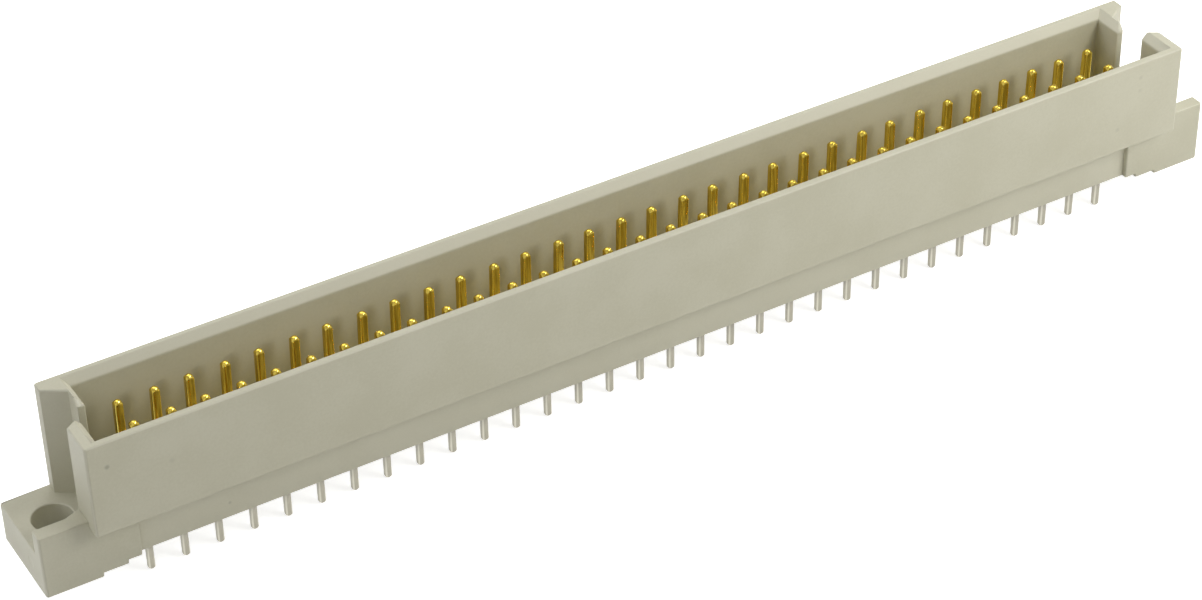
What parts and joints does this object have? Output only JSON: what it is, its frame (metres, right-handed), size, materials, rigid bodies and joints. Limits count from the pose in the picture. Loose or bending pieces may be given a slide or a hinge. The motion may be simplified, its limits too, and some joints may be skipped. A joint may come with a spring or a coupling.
{
  "type": "male multi-pin connector",
  "caption": "Straight male board connector: long keyed open-top shell in beige plastic around two rows of square pins, flanged ends with fixing holes, solder tails below.",
  "frame": {"origin": "midway between the two fixing holes, on the board plane", "axes": "+X along the rows of contacts, +Y towards the back wall, +Z in the mating direction, away from the board"},
  "size_m": [0.0948, 0.0082, 0.0141],
  "materials": {
    "housing_plastic": "glass-filled polyester, fine moulded grain, low sheen",
    "contact_metal": "copper alloy, gold plated on the pin and tin plated on the solder tail"
  },
  "bodies": {
    "root": {"housing": "housing_plastic", "contact_pair_01": "contact_metal", "contact_pair_02": "contact_metal", "contact_pair_03": "contact_metal", "contact_pair_04": "contact_metal", "contact_pair_05": "contact_metal", "contact_pair_06": "contact_metal", "contact_pair_07": "contact_metal", "contact_pair_08": "contact_metal", "contact_pair_09": "contact_metal", "contact_pair_10": "contact_metal", "contact_pair_11": "contact_metal", "contact_pair_12": "contact_metal", "contact_pair_13": "contact_metal", "contact_pair_14": "contact_metal", "contact_pair_15": "contact_metal", "contact_pair_16": "contact_metal", "contact_pair_17": "contact_metal", "contact_pair_18": "contact_metal", "contact_pair_19": "contact_metal", "contact_pair_20": "contact_metal", "contact_pair_21": "contact_metal", "contact_pair_22": "contact_metal", "contact_pair_23": "contact_metal", "contact_pair_24": "contact_metal", "contact_pair_25": "contact_metal", "contact_pair_26": "contact_metal", "contact_pair_27": "contact_metal", "contact_pair_28": "contact_metal", "contact_pair_29": "contact_metal", "contact_pair_30": "contact_metal", "contact_pair_31": "contact_metal", "contact_pair_32": "contact_metal"}
  },
  "joints": []
}
